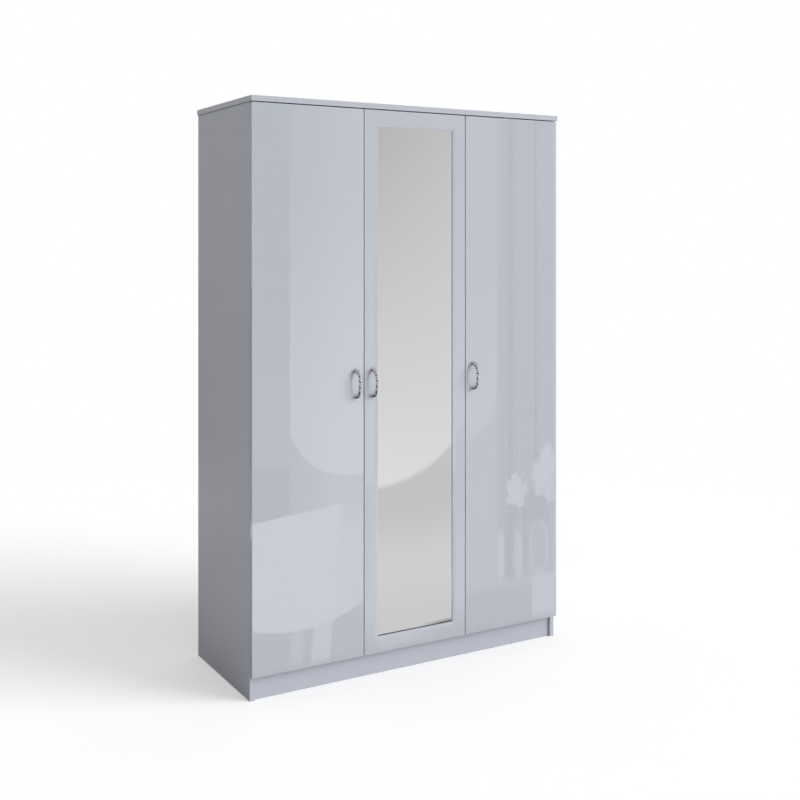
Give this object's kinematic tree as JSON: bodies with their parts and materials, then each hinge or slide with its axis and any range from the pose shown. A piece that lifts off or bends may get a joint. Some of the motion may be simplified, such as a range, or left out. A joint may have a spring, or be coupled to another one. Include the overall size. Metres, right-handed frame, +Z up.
{
  "type": "wardrobe with doors",
  "caption": "Tall grey wardrobe with hinged gloss doors, one of them framing a mirror, over a recessed plinth, with hanging and shelf bays inside.",
  "frame": {"origin": "on the floor, under the middle of the whole outline, handles included", "axes": "+X to the right seen from the front, +Y to the back (the doors face -Y), +Z up"},
  "size_m": [1.2, 0.5248, 1.9],
  "materials": {
    "gloss_front": "board faced with a high-gloss light blue-grey film",
    "satin_board": "melamine-faced board, satin light grey",
    "back_sheet": "thin hardboard, white lacquered face",
    "mirror": "silvered mirror glass",
    "handle_chrome": "polished chrome",
    "rail_chrome": "chromed steel",
    "cam_zinc": "die-cast zinc",
    "zinc_screws": "bright zinc plating",
    "hinge_steel": "nickel-plated steel",
    "buffer_rubber": "soft translucent buffer",
    "dowel_wood": "plain beech"
  },
  "bodies": {
    "carcass": {"top_panel": "satin_board", "left_side_panel": "satin_board", "right_side_panel": "satin_board", "divider_panel": "satin_board", "base_panel": "satin_board", "plinth_board": "satin_board", "rear_plinth_rail": "satin_board", "wide_plinth_brace": "satin_board", "narrow_plinth_brace": "satin_board", "wide_back_sheet": "back_sheet", "narrow_back_sheet": "back_sheet", "hat_shelf": "satin_board", "linen_shelf_1": "satin_board", "linen_shelf_2": "satin_board", "linen_shelf_3": "satin_board", "linen_shelf_4": "satin_board", "hanging_rail": "rail_chrome", "rail_sockets": "rail_chrome", "rail_screws": "zinc_screws", "shelf_pins": "rail_chrome", "cam_locks": "cam_zinc", "cam_bolts": "zinc_screws", "dowels": "dowel_wood", "back_nails": "zinc_screws", "wall_brackets": "hinge_steel", "bracket_screws": "zinc_screws", "hinge_plates": "hinge_steel", "hinge_plate_screws": "zinc_screws", "hinge_arm_pins": "hinge_steel", "left_hinge_arms": "hinge_steel", "mirror_hinge_arms": "hinge_steel", "right_hinge_arms": "hinge_steel", "door_buffers": "buffer_rubber"},
    "left_outer_links": {"left_outer_links": "hinge_steel"},
    "left_inner_links": {"left_inner_links": "hinge_steel"},
    "left_door": {"left_door_panel": "gloss_front", "left_hinge_cups": "hinge_steel", "left_cup_pins": "hinge_steel", "left_door_screws": "zinc_screws", "left_handle": "handle_chrome"},
    "mirror_outer_links": {"mirror_outer_links": "hinge_steel"},
    "mirror_inner_links": {"mirror_inner_links": "hinge_steel"},
    "mirror_door": {"mirror_left_stile": "gloss_front", "mirror_right_stile": "gloss_front", "mirror_top_rail": "gloss_front", "mirror_bottom_rail": "gloss_front", "mirror_glass": "mirror", "mirror_backing": "back_sheet", "mirror_hinge_cups": "hinge_steel", "mirror_cup_pins": "hinge_steel", "mirror_door_screws": "zinc_screws", "mirror_handle": "handle_chrome"},
    "right_outer_links": {"right_outer_links": "hinge_steel"},
    "right_inner_links": {"right_inner_links": "hinge_steel"},
    "right_door": {"right_door_panel": "gloss_front", "right_hinge_cups": "hinge_steel", "right_cup_pins": "hinge_steel", "right_door_screws": "zinc_screws", "right_handle": "handle_chrome"}
  },
  "joints": [
    {"name": "left_outer_link_swing", "type": "hinge", "parent": "carcass", "child": "left_outer_links", "pos_m": [-0.564, -0.1905, 0], "axis": [0, 0, 1], "range_deg": [-0.1, 33.4]},
    {"name": "left_inner_link_swing", "type": "hinge", "parent": "carcass", "child": "left_inner_links", "pos_m": [-0.5694, -0.2082, 0], "axis": [0, 0, 1], "range_deg": [-0.1, 47.9]},
    {"name": "left_door_swing", "type": "hinge", "parent": "left_outer_links", "child": "left_door", "pos_m": [-0.5883, -0.2083, 0], "axis": [0, 0, -1], "range_deg": [0, 128.3]},
    {"name": "mirror_outer_link_swing", "type": "hinge", "parent": "carcass", "child": "mirror_outer_links", "pos_m": [0.165, -0.1905, 0], "axis": [0, 0, -1], "range_deg": [-0.1, 33.4]},
    {"name": "mirror_inner_link_swing", "type": "hinge", "parent": "carcass", "child": "mirror_inner_links", "pos_m": [0.1704, -0.2082, 0], "axis": [0, 0, -1], "range_deg": [-0.1, 47.9]},
    {"name": "mirror_door_swing", "type": "hinge", "parent": "mirror_outer_links", "child": "mirror_door", "pos_m": [0.1893, -0.2083, 0], "axis": [0, 0, 1], "range_deg": [0, 128.3]},
    {"name": "right_outer_link_swing", "type": "hinge", "parent": "carcass", "child": "right_outer_links", "pos_m": [0.564, -0.1905, 0], "axis": [0, 0, -1], "range_deg": [-0.1, 33.4]},
    {"name": "right_inner_link_swing", "type": "hinge", "parent": "carcass", "child": "right_inner_links", "pos_m": [0.5694, -0.2082, 0], "axis": [0, 0, -1], "range_deg": [-0.1, 47.9]},
    {"name": "right_door_swing", "type": "hinge", "parent": "right_outer_links", "child": "right_door", "pos_m": [0.5883, -0.2083, 0], "axis": [0, 0, 1], "range_deg": [0, 128.3]}
  ],
  "couplings": [
    {"joint": "left_outer_link_swing", "follows": "left_door_swing", "ratio": 0.25955},
    {"joint": "left_inner_link_swing", "follows": "left_door_swing", "ratio": 0.37256},
    {"joint": "mirror_outer_link_swing", "follows": "mirror_door_swing", "ratio": 0.25955},
    {"joint": "mirror_inner_link_swing", "follows": "mirror_door_swing", "ratio": 0.37256},
    {"joint": "right_outer_link_swing", "follows": "right_door_swing", "ratio": 0.25955},
    {"joint": "right_inner_link_swing", "follows": "right_door_swing", "ratio": 0.37256}
  ]
}
